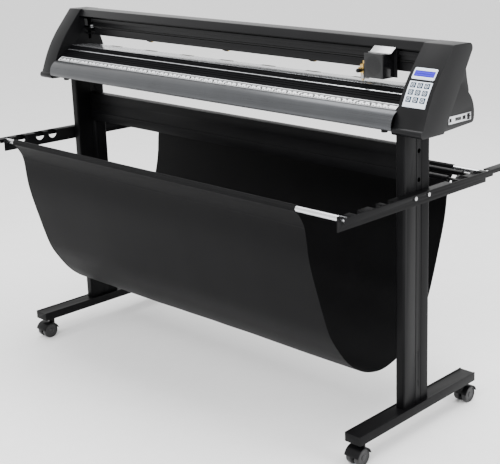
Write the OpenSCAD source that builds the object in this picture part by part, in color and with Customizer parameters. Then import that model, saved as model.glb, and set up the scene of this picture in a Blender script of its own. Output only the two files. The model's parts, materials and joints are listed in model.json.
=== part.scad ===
// Roll-fed cutting plotter on a wheeled stand with a cloth catch basket.
// X runs along the machine, Y from front (negative) to rear, Z up from the floor.

/* [Machine] */
// Length over both end caps
machine_length = 1617; // [1350:1:2100]
// Width of the control end cap on the right
right_cap_width = 95.5; // [85:0.5:130]
// Width of the plain end cap on the left
left_cap_width = 60; // [45:0.5:100]
// Wall of the moulded end caps
cap_wall = 3; // [2:0.5:4]
// Step between the swept side and the rear bulge of a cap
cap_step = 6; // [3:0.5:10]
// Thickness of the steel end plates
end_plate = 3; // [2:0.5:5]
// Deck top above the machine base
deck_height = 99.5; // [95:0.5:104]

/* [Stand] */
// Distance between the column centres
column_spacing = 1400; // [1150:1:1420]
// Column height above its foot beam
column_height = 775.5; // [600:0.5:950]
// Column width along the machine
column_width = 30; // [26:1:40]
// Column depth front to back
column_depth = 110; // [90:1:130]
// Wall of the column tube
column_wall = 3; // [2:0.5:5]
// Outer corner radius of the column tube
column_corner = 6; // [5.5:0.5:8]
// Thickness of the head plate on each column
head_plate = 6; // [4:0.5:10]
// Foot beam length
foot_length = 520; // [420:1:700]
// Foot beam width
foot_width = 54; // [48:1:70]
// Foot beam height
foot_height = 26; // [22:1:40]
// Wall of the foot beam
foot_wall = 4; // [3:0.5:6]
// Depth of the recess between the foot beam's rims
foot_recess = 1.5; // [1:0.5:3]
// Height of the cross beam
cross_height = 93; // [60:1:120]
// Depth of the cross beam
cross_depth = 30; // [20:1:45]
// Drop of the cross beam's top below the machine base
cross_drop = 57; // [30:1:150]

/* [Casters] */
// Wheel radius
wheel_radius = 24; // [20:0.5:30]
// Width of one wheel
wheel_width = 16.5; // [12:0.5:20]
// Swivel offset of the wheel axle from the stem
swivel_offset = 18; // [12:0.5:22]
// Stem radius
stem_radius = 5; // [4:0.5:6]
// Axle radius
axle_radius = 3; // [2:0.5:4]

/* [Basket] */
// Height of the arm top above the floor
arm_top = 702; // [560:1:760]
// Half length of the arm channel
arm_half = 318; // [300:1:380]
// Length of the thin tail past the channel's end
arm_tail = 82; // [40:1:120]
// Arm channel width
arm_width = 26.7; // [22:0.1:34]
// Height of the arm's inner web
arm_web = 40; // [30:1:50]
// Height of the arm's outer lip
arm_lip = 18; // [12:1:24]
// Arm sheet thickness
arm_sheet = 2.5; // [2:0.5:4]
// Reach of the basket rods from the column centre
rod_reach = 300; // [285:1:360]
// Radius of the basket rods
rod_radius = 8; // [6:0.5:9]
// Reach of the outer media roller
roller_outer = 257; // [240:1:265]
// Reach of the inner media roller
roller_inner = 187; // [170:1:210]
// Reach of the spare slots
slot_spare = 139; // [120:1:150]
// Media roller tube radius
roller_radius = 8; // [6:0.5:12]
// Radius of the roller's end stubs
stub_radius = 4; // [3:0.5:5]
// Radius of the bushings that turn in the slots
bush_radius = 15; // [9:0.5:16]
// Depth of the basket below its rods
basket_depth = 536; // [350:1:580]
// Cloth thickness
cloth = 2; // [1:0.5:3]
// Right edge of the cloth at the front rod
cloth_right_front = 563; // [400:1:660]
// Right edge of the cloth at the rear rod
cloth_right_rear = 620; // [400:1:670]

/* [Carriage] */
// Carriage position along the machine
carriage_x = 583.5; // [-600:0.5:600]
// Width of the carriage cover
cover_width = 65; // [50:1:80]
// Width of the carriage base
carriage_width = 84; // [70:1:100]
// Height of the carriage cover
cover_height = 65; // [50:1:70]
// Radius of the blade holder
holder_radius = 6; // [4:0.5:7]

/* [Feed] */
// Spacing of the pinch rollers
pinch_spacing = 359; // [300:1:400]
// Position of the middle pinch roller
pinch_middle = -65; // [-120:1:60]
// Pinch roller radius
pinch_radius = 8; // [6:0.5:9]
// Gap between a raised pinch roller and the feed roller
pinch_lift = 26.3; // [15:0.1:28]
// Feed roller radius
grit_radius = 12; // [9:0.5:13]
// Feed shaft radius
shaft_radius = 5; // [4:0.5:6]
// Belt pulley radius
pulley_radius = 9; // [7:0.5:10]

/* [Controls] */
// Width of the display bezel and the key panel
panel_width = 71; // [60:1:76]
// Height of the display bezel
display_height = 33; // [26:1:40]
// Height of the key panel
keypad_height = 70; // [58:0.5:80]
// Key pitch across
key_pitch_x = 22; // [19:0.5:25]
// Key pitch up the slope
key_pitch_s = 19.5; // [17:0.5:24]
// Key width
key_width = 16; // [12:0.5:18]
// Key height
key_height = 14; // [11:0.5:16]
// How far a key can be pressed
key_travel = 1; // [0.5:0.1:1.5]

/* [Hidden] */
$fn = 48;
gap = 0.35;
running = 0.06;
touch = 0.02;
foot_clearance = 66;
foot_top = foot_clearance + foot_height;
foot_floor = foot_top - foot_recess;
column_top = foot_floor + column_height;
base_z = column_top + head_plate;
column_x = column_spacing / 2;
column_in = column_x - column_width / 2;
column_out = column_x + column_width / 2;
foot_front = -foot_length / 2 + 8;
foot_rear = foot_length / 2 + 8;
stem_front = foot_front + 38;
stem_rear = foot_rear - 32;
half = machine_length / 2;
arc_step = 7.5;
bow_step = 1.5;
in_left = left_cap_width - half;
in_right = half - right_cap_width;
cross_front = -3;
cross_top = base_z - cross_drop;
cross_mid = cross_top - cross_height / 2;
bolt_y = 7.2;
bolt_radius = 3;
bolt_head = 5.4;
access_radius = 6.5;
tenon_height = 178;
tenon_bolts = [64, 150];
rod_z = arm_top - rod_radius - 2;
arm_in = column_out + 0.3;
arm_out = arm_in + arm_width;
arm_bolt_y = [-42, 14];
arm_bolt_z = arm_top - arm_lip / 2;
rod_end = arm_out - arm_sheet - 1.5;
bush_width = 8;
sleeve_in = rod_radius + gap;
sleeve_out = sleeve_in + cloth;
cloth_left = -(column_in - 3);

// side outline of a cap, as circles [y, z, radius] above the machine base
front_toe = [-90.5, 5, 10];
rear_toe = [-14, -1, 4];
crest = [95.1, 202, 14];
brow = [31.5, 211, 5];
bow = [287.2, -99.1, 400];
fin = [front_toe, rear_toe, crest, brow, bow];
// rolled lip below the sloping panel, rear drum and the rounded corner under it
lip_roll = [-97, 5, 10];
drum = [52, 28, 78];
drum_corner = [117, 16.5, 12];
// rear edge of the neck between drum and gantry
neck_edge = [[92, 176], [98, 148], [104, 119], [112, 92], [112, 60]];

deck_front = -14.4;
deck_slope = 0.6975;
slope_front = -79.2;
rear_centre = [50, deck_height - 71.4];
rear_radius = 71.4;
guide_sheet = 3;
platen_sheet = 4.4;
shaft_y = 60;
grit_z = deck_height + 0.2 - grit_radius;
grit_length = 50;
grit_pitch = pinch_spacing / 2;
trough_half = grit_radius + 2.5;

beam_bottom = 132;
slot_low = 155.5;
slot_high = 162.5;
belt_low = 157;
belt_high = 161;
belt_gap = 0.3;
belt_sheet = 1.4;
belt_front = 46.3;
pulley_y = belt_front + belt_sheet + belt_gap + pulley_radius;
pulley_left = in_left + 23.5;
pulley_right = in_right + 37;
beam_notch = in_left + 48;
rail_low = 176;
rail_high = 187;
rail_front = 34;
pinch_z = grit_z + grit_radius + pinch_lift + pinch_radius;
bar_low = pinch_z + pinch_radius + 0.5;
bar_height = 6;
bar_room = bar_low + bar_height + 1;
bar_half = 5;
pinch_x = [pinch_middle - pinch_spacing, pinch_middle, pinch_middle + pinch_spacing];

cover_bottom = 116;
cover_top = cover_bottom + cover_height;
holder_x = carriage_x - cover_width / 2 - 15;
holder_y = -6;
holder_low = deck_height + 4;
panel_x = in_right + right_cap_width / 2;
panel_rim = 3;
panel_fit = 0.3;
keypad_sheet = 1.2;
bow_degree = bow[2] * PI / 180;
display_angle = 142.4;
keypad_angle = 150.6;
keys_angle = 149.9;
port_y0 = 14.5;
port_y1 = 113;
port_low = 14;
port_high = 34;
small_socket_y = 22;
serial_y = 56;
inlet_y = 82;
switch_y = 102;
switch_z = (port_low + port_high) / 2;
side_face = half - cap_step;

function unit(v) = v / norm(v);
// outward normal of the tangent from circle a to circle b, walking anticlockwise
function tangent(a, b) =
  let (d = [b[0] - a[0], b[1] - a[1]], l = norm(d), u = d / l, s = (a[2] - b[2]) / l, c = sqrt(1 - s * s))
  [u[1] * c + u[0] * s, -u[0] * c + u[1] * s];
function angle(v) = atan2(v[1], v[0]);
// points along an arc about c, from angle a0 anticlockwise to a1
function arc(c, r, a0, a1) =
  let (sweep = (a1 - a0 + 720) % 360, n = max(1, ceil(sweep / (r > 200 ? bow_step : arc_step))))
  [for (i = [0 : n]) [c[0], c[1]] + r * [cos(a0 + sweep * i / n), sin(a0 + sweep * i / n)]];
// outline round a list of circles, t inside them
function wrap(list, t) =
  [for (i = [0 : len(list) - 1])
    let (k = len(list), a = tangent(list[(i + k - 1) % k], list[i]), b = tangent(list[i], list[(i + 1) % k]))
    each arc(list[i], list[i][2] - t, angle(a), angle(b))];
// side normal of an open line of points
function side(p, i) =
  let (a = p[max(i - 1, 0)], b = p[min(i + 1, len(p) - 1)], u = unit(b - a)) [-u[1], u[0]];

module along_x(x0, x1) {
  translate([x0, 0, 0]) rotate([90, 0, 90]) linear_extrude(x1 - x0) children();
}

module box(x0, x1, y0, y1, z0, z1) {
  translate([x0, y0, z0]) cube([x1 - x0, y1 - y0, z1 - z0]);
}

module rod_x(x0, x1, y, z, r) {
  translate([x0, y, z]) rotate([0, 90, 0]) cylinder(h = x1 - x0, r = r);
}

// swept side of a cap, t inside its outer face
module fin_body(x0, x1, t) {
  along_x(x0, x1) polygon(wrap(fin, t));
  along_x(x0, x1) polygon(arc(lip_roll, lip_roll[2] - t, 100, 459));
}

// rear drum of a cap, flattened below
module drum_body(x0, x1, t) {
  low = tangent([rear_toe[0], rear_toe[1], 2], drum_corner);
  side = [drum_corner[0] - drum[0], drum_corner[1] - drum[1]];
  along_x(x0, x1) polygon(concat([[rear_toe[0], rear_toe[1]] + (2 - t) * low],
    arc(drum_corner, drum_corner[2] - t, angle(low), angle(side)),
    arc(drum, drum[2] - t, angle(side), 150)));
}

module neck_body(x0, x1, t) {
  along_x(x0, x1) polygon(concat([for (p = neck_edge) p - [t, 0]], [[0, 60], [0, 80], [60, 176]]));
}

// ---------------------------------------------------------------- stand

module foot_beam() {
  y0 = foot_front;
  y1 = foot_rear;
  w = foot_width / 2;
  difference() {
    box(-w, w, y0, y1, foot_clearance, foot_top);
    box(-w + foot_wall, w - foot_wall, y0 - 1, y1 + 1, foot_floor, foot_top + 1);
    box(-w + foot_wall, w - foot_wall, y0 + foot_wall, y1 - foot_wall,
      foot_clearance + foot_wall, foot_floor - foot_wall);
    for (y = [stem_front, stem_rear])
      translate([0, y, foot_clearance - 1]) cylinder(h = foot_wall + 2, r = stem_radius + running);
  }
  difference() {
    w2 = column_width / 2 - column_wall - 0.3;
    box(-w2, w2, -30, 44, foot_floor, foot_floor + tenon_height);
    for (h = tenon_bolts) rod_x(-w2 - 1, w2 + 1, bolt_y, foot_floor + h, bolt_radius + touch);
  }
}

module foot_beam_left() { color([0.1, 0.1, 0.11]) translate([-column_x, 0, 0]) foot_beam(); }
module foot_beam_right() { color([0.1, 0.1, 0.11]) translate([column_x, 0, 0]) foot_beam(); }

module column_tube(z0, z1, t) {
  w = column_width / 2 - column_corner;
  d = column_depth / 2 - column_corner;
  corners = [for (p = [[-w, -d], [w, -d], [w, d], [-w, d]]) [p[0], p[1], column_corner]];
  translate([0, 0, z0]) linear_extrude(z1 - z0) polygon(wrap(corners, t));
}

// one upright seen from the right side, inner face towards -X
module column(bolts) {
  w = column_width / 2;
  difference() {
    column_tube(foot_floor, column_top, 0);
    column_tube(foot_floor - 1, column_top + 1, column_wall);
    for (x = [-w, w], y = [bolt_y - 11.5, bolt_y + 11.5])
      box(x - 1, x + 1, y - 1, y + 1, foot_floor - 1, column_top + 1);
    for (z = [cross_mid - 39, cross_mid + 39]) {
      rod_x(w - column_wall - 1, 2 * w, bolt_y, z, access_radius);
      rod_x(-2 * w, 0, bolt_y, z, bolt_radius + touch);
    }
    for (h = tenon_bolts) rod_x(w - column_wall - 1, 2 * w, bolt_y, foot_floor + h, bolt_head + 0.3);
    for (y = bolts) rod_x(0, 2 * w, y, arm_bolt_z, bolt_radius + touch);
  }
  box(-60, in_right - column_x - gap, -column_depth / 2, 80, column_top, column_top + head_plate);
}

module column_right() { color([0.12, 0.12, 0.13]) translate([column_x, 0, 0]) column(arm_bolt_y); }
module column_left() {
  color([0.12, 0.12, 0.13]) translate([-column_x, 0, 0]) mirror([1, 0, 0]) column(-arm_bolt_y);
}

module cross_beam() {
  color([0.12, 0.12, 0.13]) difference() {
    box(-column_in, column_in, cross_front, cross_front + cross_depth, cross_top - cross_height, cross_top);
    box(-column_in - 1, column_in + 1, cross_front - 1, cross_front + 3,
      cross_mid - 18, cross_mid + 18);
    for (s = [-1, 1], k = [-1, 1])
      rod_x(s * column_in - 26, s * column_in + 26, bolt_y, cross_mid + k * 39, bolt_radius + touch);
    box(-column_in - 1, column_in + 1, cross_front + 7, cross_front + cross_depth - 4,
      cross_mid - 28, cross_mid + 28);
  }
}

module stand_bolts() {
  color([0.55, 0.55, 0.57]) for (s = [0, 1]) mirror([s, 0, 0]) {
    for (k = [-1, 1]) {
      rod_x(column_in - 22, column_in + column_wall + 4, bolt_y, cross_mid + k * 39, bolt_radius);
      rod_x(column_in + column_wall, column_in + column_wall + 4, bolt_y, cross_mid + k * 39, bolt_head);
    }
    for (h = tenon_bolts) {
      rod_x(column_x - 6, column_out - 0.5, bolt_y, foot_floor + h, bolt_radius);
      rod_x(column_out - column_wall + 0.3, column_out - 0.5, bolt_y, foot_floor + h, bolt_head);
    }
    for (y = arm_bolt_y * (s == 0 ? 1 : -1)) {
      rod_x(column_out - 8, arm_out + 3, y, arm_bolt_z, bolt_radius);
      rod_x(arm_out, arm_out + 3, y, arm_bolt_z, bolt_head);
    }
  }
}

// ---------------------------------------------------------------- casters

// twin wheel caster body around its stem, the wheels trail towards dir * Y
module caster_hood(dir) {
  y = dir * swivel_offset;
  z = wheel_radius;
  w = wheel_width + 5.8;
  pocket = wheel_radius + 1.2;
  difference() {
    union() {
      difference() {
        union() {
          rod_x(-w - 2, w + 2, y, z, pocket + 2.8);
          cylinder(h = foot_clearance - 0.6, r = 9);
        }
        box(-w - 3, w + 3, y - 40, y + 40, -10, z + 6);
        for (k = [-1, 1]) rod_x(k * (w / 2 + 2.6 + 1.5) - w / 2 + 1.1, k * (w / 2 + 2.6 + 1.5) + w / 2 - 1.1,
          y, z, pocket);
      }
      rod_x(-5, 5, y, z, pocket - 8);
      intersection() {
        rod_x(-5, 5, y, z, pocket + 1);
        box(-5, 5, y - 40, y + 40, z, z + 40);
      }
      cylinder(h = foot_clearance + foot_height - 8, r = stem_radius);
    }
    rod_x(-6, 6, y, z, axle_radius + running);
    cylinder(h = 30, r = 12);
  }
}

module caster_wheels(dir) {
  y = dir * swivel_offset;
  for (k = [-1, 1])
    rod_x(k > 0 ? 5.8 : -5.8 - wheel_width, k > 0 ? 5.8 + wheel_width : -5.8, y, wheel_radius, wheel_radius);
  rod_x(-8, 8, y, wheel_radius, axle_radius);
}

module caster_hood_fl() { color([0.08, 0.08, 0.08]) translate([-column_x, stem_front, 0]) caster_hood(-1); }
module caster_hood_fr() { color([0.08, 0.08, 0.08]) translate([column_x, stem_front, 0]) caster_hood(-1); }
module caster_hood_rl() { color([0.08, 0.08, 0.08]) translate([-column_x, stem_rear, 0]) caster_hood(1); }
module caster_hood_rr() { color([0.08, 0.08, 0.08]) translate([column_x, stem_rear, 0]) caster_hood(1); }
module caster_wheels_fl() { color([0.15, 0.15, 0.15]) translate([-column_x, stem_front, 0]) caster_wheels(-1); }
module caster_wheels_fr() { color([0.15, 0.15, 0.15]) translate([column_x, stem_front, 0]) caster_wheels(-1); }
module caster_wheels_rl() { color([0.15, 0.15, 0.15]) translate([-column_x, stem_rear, 0]) caster_wheels(1); }
module caster_wheels_rr() { color([0.15, 0.15, 0.15]) translate([column_x, stem_rear, 0]) caster_wheels(1); }

// ---------------------------------------------------------------- basket

// pressed channel: tall inner web, top flange, short outer lip, one thin tail to the rear
module arm() {
  difference() {
    union() {
      box(arm_in, arm_in + arm_sheet, -arm_half, arm_half, arm_top - arm_web, arm_top);
      box(arm_in, arm_out, -arm_half, arm_half + arm_tail, arm_top - arm_sheet, arm_top);
      box(arm_out - arm_sheet, arm_out, -arm_half, arm_half, arm_top - arm_lip, arm_top);
      box(arm_out - arm_sheet, arm_out, arm_half - 1, arm_half + arm_tail, arm_top - 12, arm_top);
    }
    for (s = [-1, 1]) {
      translate([0, s * rod_reach, 0]) arm_slot(rod_radius + running);
      for (y = [roller_outer, roller_inner, slot_spare])
        translate([0, s * y, 0]) arm_slot(bush_radius + running);
    }
    for (y = arm_bolt_y) rod_x(arm_in - 1, arm_out + 1, y, arm_bolt_z, bolt_radius + touch);
    translate([arm_out, -arm_half, arm_top - arm_lip]) rotate([32, 0, 0])
      box(-5, 5, -40, 0, -40, 40);
  }
}

module arm_slot(r) {
  rod_x(arm_in - 1, rod_end + 0.5, 0, rod_z, r);
  box(arm_in - 1, rod_end + 0.5, -r, r, rod_z, arm_top + 1);
}

module arm_right() { color([0.12, 0.12, 0.13]) arm(); }
module arm_left() { color([0.12, 0.12, 0.13]) rotate([0, 0, 180]) arm(); }

module basket_rods() {
  color([0.85, 0.85, 0.87]) for (s = [-1, 1])
    rod_x(-rod_end, rod_end, s * rod_reach, rod_z, rod_radius);
}

module media_roller(y) {
  rod_x(-column_in + 5, column_in - 5, y, rod_z, roller_radius);
  rod_x(-rod_end, rod_end, y, rod_z, stub_radius);
  for (k = [-1, 1]) {
    middle = k * (arm_in + arm_sheet / 2);
    rod_x(middle - bush_width / 2, middle + bush_width / 2, y, rod_z, bush_radius);
  }
}

module media_roller_outer() { color([0.06, 0.06, 0.07]) media_roller(roller_outer); }
module media_roller_inner() { color([0.06, 0.06, 0.07]) media_roller(roller_inner); }

// fall of the cloth from a rod to the bottom: share of the reach, share of the depth
fall = [[1, 0.018], [0.945, 0.07], [0.915, 0.125], [0.893, 0.246], [0.862, 0.336], [0.807, 0.452],
  [0.74, 0.586], [0.675, 0.694], [0.585, 0.782], [0.47, 0.87], [0.33, 0.94], [0.18, 0.982], [0, 1]];
cloth_line = concat(
  [for (p = fall) [-rod_reach * p[0], rod_z - basket_depth * p[1]]],
  [for (i = [len(fall) - 2 : -1 : 0]) [rod_reach * fall[i][0], rod_z - basket_depth * fall[i][1]]]);

module basket_cloth() {
  n = len(cloth_line);
  edge = atan((cloth_right_rear - cloth_right_front) / (2 * rod_reach));
  x1 = max(cloth_right_front, cloth_right_rear) + 40;
  color([0.13, 0.13, 0.14]) difference() {
    union() {
      along_x(cloth_left, x1)
        polygon(concat([for (i = [0 : n - 1]) cloth_line[i] + side(cloth_line, i) * cloth / 2],
          [for (i = [n - 1 : -1 : 0]) cloth_line[i] - side(cloth_line, i) * cloth / 2]));
      for (s = [-1, 1]) rod_x(cloth_left, x1, s * rod_reach, rod_z, sleeve_out);
    }
    for (s = [-1, 1]) rod_x(cloth_left - 1, x1 + 1, s * rod_reach, rod_z, sleeve_in);
    translate([(cloth_right_front + cloth_right_rear) / 2, 0, -1]) rotate([0, 0, -edge])
      box(0, 400, -1000, 1000, 0, arm_top + 100);
  }
}

// ---------------------------------------------------------------- machine body

module machine_feet() {
  color([0.05, 0.05, 0.05]) for (x = [in_left + 32, in_right - 53], y = [-68, 101])
    translate([x, y, base_z - 10]) cylinder(h = 10, r = 9);
}

module chassis() {
  c = rear_centre;
  r = rear_radius - guide_sheet - 0.1;
  top = deck_height - guide_sheet - 0.1;
  fall_z = deck_slope * (deck_front - slope_front);
  low = top - fall_z;
  color([0.1, 0.1, 0.11]) translate([0, 0, base_z]) along_x(in_left, in_right) difference() {
    union() {
      polygon([[-88, 0], [c[0] + r, 0], [c[0] + r, c[1]], [c[0], c[1]], [c[0], top], [deck_front, top],
        [deck_front, top - 1.5], [slope_front, low - 1.5], [-88, low - 12]]);
      intersection() {
        translate(c) circle(r = r);
        translate(c) square([r + 1, r + 1]);
      }
    }
    translate([shaft_y - trough_half, grit_z - trough_half]) square([2 * trough_half, 60]);
    polygon([[-84, 4], [shaft_y - trough_half - 4, 4], [shaft_y - trough_half - 4, top - 4],
      [deck_front + 2, top - 4], [slope_front + 4.5, low - 4.5], [-84, low - 15]]);
    polygon([[shaft_y - trough_half, 4], [shaft_y + trough_half, 4], [shaft_y + trough_half, grit_z - trough_half - 4],
      [shaft_y - trough_half, grit_z - trough_half - 4]]);
    polygon([[shaft_y + trough_half + 4, 4], [c[0] + r - 4, 4], [c[0] + r - 4.4, c[1]], [c[0] + 57, c[1] + 27],
      [c[0] + 44, c[1] + 45], [shaft_y + trough_half + 4, c[1] + 56]]);
  }
}

module platen() {
  low = deck_height - deck_slope * (deck_front - slope_front);
  a = atan(deck_slope);
  run = (deck_front - slope_front) / cos(a);
  color([0.05, 0.05, 0.06]) translate([0, 0, base_z]) difference() {
    along_x(in_left + gap, in_right - gap) polygon([[deck_front - 0.1, deck_height - 0.1],
      [slope_front, low - 0.2], [slope_front, low - platen_sheet],
      [deck_front - 0.1, deck_height - platen_sheet]]);
    for (k = [0 : 5])
      translate([0, deck_front - (5 + k * 8) * cos(a), deck_height - 0.1 - (5 + k * 8) * sin(a)])
        rotate([a, 0, 0]) box(in_left, in_right, -1.2, 1.2, -1.2, 3);
  }
}

module rear_guide() {
  c = rear_centre;
  color([0.75, 0.76, 0.78]) translate([0, 0, base_z]) difference() {
    along_x(in_left + gap, in_right - gap) union() {
      translate([deck_front + 0.1, deck_height - guide_sheet])
        square([c[0] - deck_front - 0.1, guide_sheet]);
      intersection() {
        difference() {
          translate(c) circle(r = rear_radius);
          translate(c) circle(r = rear_radius - guide_sheet);
        }
        polygon([c, [c[0], c[1] + 90], [c[0] + 90, c[1] + 90], [c[0] + 100, c[1] + 62]]);
      }
    }
    for (k = [-3 : 4])
      box(pinch_middle + k * grit_pitch - grit_length / 2 - 2, pinch_middle + k * grit_pitch + grit_length / 2 + 2,
        shaft_y - grit_radius + gap, shaft_y + grit_radius - gap, deck_height - 20, deck_height + 20);
  }
}

module ruler_strip() {
  a = atan(deck_slope);
  color([0.9, 0.9, 0.9]) translate([0, slope_front + 0.3, base_z + deck_height
    - deck_slope * (deck_front - slope_front)])
    rotate([a, 0, 0]) box(in_left + 8, in_right - 8, 0.4, 19.5, 0.05, 0.85);
}

// rolled sheet from the deck's front edge down and back under the chassis
module front_cover() {
  c = [-68.4, deck_height - 83.5];
  r = 39.6;
  x0 = in_left + gap;
  x1 = in_right - gap;
  color([0.45, 0.46, 0.48]) translate([0, 0, base_z]) {
    difference() {
      rod_x(x0, x1, c[0], c[1], r);
      rod_x(x0 - 1, x1 + 1, c[0], c[1], r - 2.5);
      box(x0 - 1, x1 + 1, slope_front - gap, c[0] + 50, c[1] - 50, c[1] + 50);
      box(x0 - 1, x1 + 1, c[0] - 50, c[0] + 50, c[1] - 50, c[1] - 8);
    }
    along_x(x0, x1) polygon([c + [-38.2, -7], c + [-36.2, -7], c + [-19.7, -11.5], c + [-19.7, -14.5],
      c + [-37.8, -9.8]]);
  }
}

// steel end plate with its shelf, openings and the rounded closing piece behind the deck
module end_plate_shape(x0) {
  t = cap_wall + 0.4;
  x1 = x0 + end_plate;
  difference() {
    union() {
      fin_body(x0, x1, t);
      drum_body(x0, x1, t);
      neck_body(x0, x1, t);
    }
    rod_x(x0 - 1, x1 + 1, shaft_y, grit_z, shaft_radius + running);
    box(x0 - 1, x1 + 1, shaft_y - bar_half - 0.5, shaft_y + bar_half + 0.5,
      bar_low - pinch_lift - 1, bar_room);
    box(x0 - 1, x1 + 1, belt_front - 5, belt_front + 27, slot_low - 1, slot_high + 1);
  }
}

module end_plates() {
  color([0.16, 0.16, 0.17]) translate([0, 0, base_z]) {
    end_plate_shape(in_left - end_plate);
    box(in_left - 1, pulley_left + 14, belt_front - 3, belt_front + 29, slot_low - 4.6, slot_low - 1.6);
    translate([pulley_left, pulley_y, slot_low - 4]) cylinder(h = slot_high - slot_low + 9, r = 3);
    end_plate_shape(in_right);
    difference() {
      box(in_right + 1, pulley_right + 21, pulley_y - 6, pulley_y + 6, slot_high + 2.6, slot_high + 5.6);
      translate([pulley_right, pulley_y, slot_high]) cylinder(h = 10, r = 3.5);
    }
  }
}

module cap_shell(width) {
  difference() {
    union() {
      fin_body(0, width, 0);
      drum_body(0, width - cap_step, 0);
      neck_body(0, width - 2 * cap_step, 0);
    }
    fin_body(-1, width - cap_wall, cap_wall);
    drum_body(-1, width - cap_step - cap_wall, cap_wall);
    neck_body(-1, width - 2 * cap_step - cap_wall, cap_wall);
  }
}

module left_cap() {
  color([0.08, 0.08, 0.09]) translate([in_left, 0, base_z]) mirror([1, 0, 0]) cap_shell(left_cap_width);
}

// frame on the bowed front panel at angle t: x along the machine, y up the slope, z out of the face
module on_panel(x, t) {
  translate([x, bow[0] + bow[2] * cos(t), bow[1] + bow[2] * sin(t)]) rotate([t - 90, 0, 0]) children();
}

// piece of the bowed face from depth z0 to z1, within inset of the key panel's outline
module keypad_band(inset, z0, z1) {
  turn = (keypad_height / 2 - inset) / bow_degree;
  inner = arc(bow, bow[2] + z0, keypad_angle - turn, keypad_angle + turn);
  outer = arc(bow, bow[2] + z1, keypad_angle - turn, keypad_angle + turn);
  along_x(panel_x - panel_width / 2 + inset, panel_x + panel_width / 2 - inset)
    polygon(concat(outer, [for (i = [len(inner) - 1 : -1 : 0]) inner[i]]));
}

module right_cap() {
  color([0.08, 0.08, 0.09]) translate([0, 0, base_z]) difference() {
    translate([in_right, 0, 0]) cap_shell(right_cap_width);
    on_panel(panel_x, display_angle) box(panel_rim - panel_width / 2, panel_width / 2 - panel_rim,
      panel_rim - display_height / 2, display_height / 2 - panel_rim, -12, 12);
    keypad_band(panel_rim, -12, 12);
    box(side_face - cap_wall - 1, side_face + 1, port_y0 + 2, port_y1 - 2, port_low + 2, port_high - 2);
  }
}

// ---------------------------------------------------------------- gantry

module gantry_beam() {
  color([0.12, 0.12, 0.13]) translate([0, 0, base_z]) difference() {
    along_x(in_left, in_right) difference() {
      union() {
        polygon([[46, beam_bottom], [100, beam_bottom], [104, beam_bottom + 4], [104, 204], [92, 216],
          [39.3, 216], [35.1, 213.7], [22.2, 194], [42, 194], [42, rail_high], [rail_front, rail_high],
          [rail_front, rail_low], [42, rail_low], [42, 159], [46, 159]]);
        translate([39.3, 211]) circle(r = 5);
      }
      polygon([[50, 153], [100, 153], [100, 202], [90.5, 211.5], [50, 211.5]]);
      translate([50, beam_bottom - 1]) square([50, bar_room - beam_bottom + 1]);
      translate([41, slot_low]) square([10, slot_high - slot_low]);
    }
    box(in_left - 1, beam_notch, 20, 76, beam_bottom + 5, 194);
  }
}

module belt_outline(t) {
  for (x = [pulley_left, pulley_right]) translate([x, pulley_y])
    circle(r = pulley_radius + belt_gap + t);
  translate([pulley_left, pulley_y - pulley_radius - belt_gap - t])
    square([pulley_right - pulley_left, 2 * (pulley_radius + belt_gap + t)]);
}

module carriage_belt() {
  color([0.05, 0.05, 0.05]) translate([0, 0, base_z + belt_low]) linear_extrude(belt_high - belt_low)
    difference() {
      belt_outline(belt_sheet);
      belt_outline(0);
    }
}

module pulley_body() {
  translate([0, 0, slot_low + 0.6]) cylinder(h = slot_high - slot_low - 1.2, r = pulley_radius);
  for (z = [slot_low - 0.2, slot_high - 0.8])
    translate([0, 0, z]) cylinder(h = 1, r = pulley_radius + 2.5);
}

module drive_pulley() {
  color([0.75, 0.75, 0.77]) translate([pulley_right, pulley_y, base_z]) {
    pulley_body();
    translate([0, 0, slot_high - 1]) cylinder(h = 16, r = 2.5);
  }
}

module idler_pulley() {
  color([0.75, 0.75, 0.77]) translate([pulley_left, pulley_y, base_z]) difference() {
    pulley_body();
    translate([0, 0, slot_low - 2]) cylinder(h = 12, r = 3 + running);
  }
}

module carriage_motor() {
  color([0.2, 0.2, 0.22]) translate([pulley_right, pulley_y, base_z + slot_high + 5.7]) difference() {
    box(-21, 21, -21, 21, 0, 38);
    translate([0, 0, -1]) cylinder(h = 14, r = 2.5 + running);
  }
}

module carriage_base() {
  w = carriage_width / 2;
  color([0.1, 0.1, 0.11]) translate([carriage_x, 0, base_z]) difference() {
    union() {
      box(-w, w, 26, 30, cover_bottom, rail_high + 5);
      box(-w, w, 29, rail_front - gap, rail_low - 6, rail_high + 5);
      box(-w, w, 29, 41.4, rail_high + gap, rail_high + 5);
      box(-w, w, 29, 41.4, rail_low - 6, rail_low - gap);
      box(-14, 14, 29, belt_front + belt_sheet + 2.2, slot_low + 0.6, slot_high - 0.6);
    }
    box(-15, 15, belt_front - gap, belt_front + belt_sheet + gap, belt_low - 0.2, belt_high + 0.2);
  }
}

module carriage_cover() {
  w = cover_width / 2;
  color([0.12, 0.12, 0.13]) translate([carriage_x, 0, base_z]) difference() {
    box(-w, w, -20, 26, cover_bottom, cover_top);
    box(-w + 1.8, w - 1.8, -18.2, 27, cover_bottom + 1.8, cover_top - 1.8);
  }
}

module carriage_bracket() {
  color([0.8, 0.8, 0.82]) translate([carriage_x + 8, 0, base_z]) along_x(-36, 36)
    polygon([[-8, cover_top], [0, cover_top], [21, 195.4], [19.6, 196.8], [-0.8, cover_top + 1.5],
      [-8, cover_top + 1.5]]);
}

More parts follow.
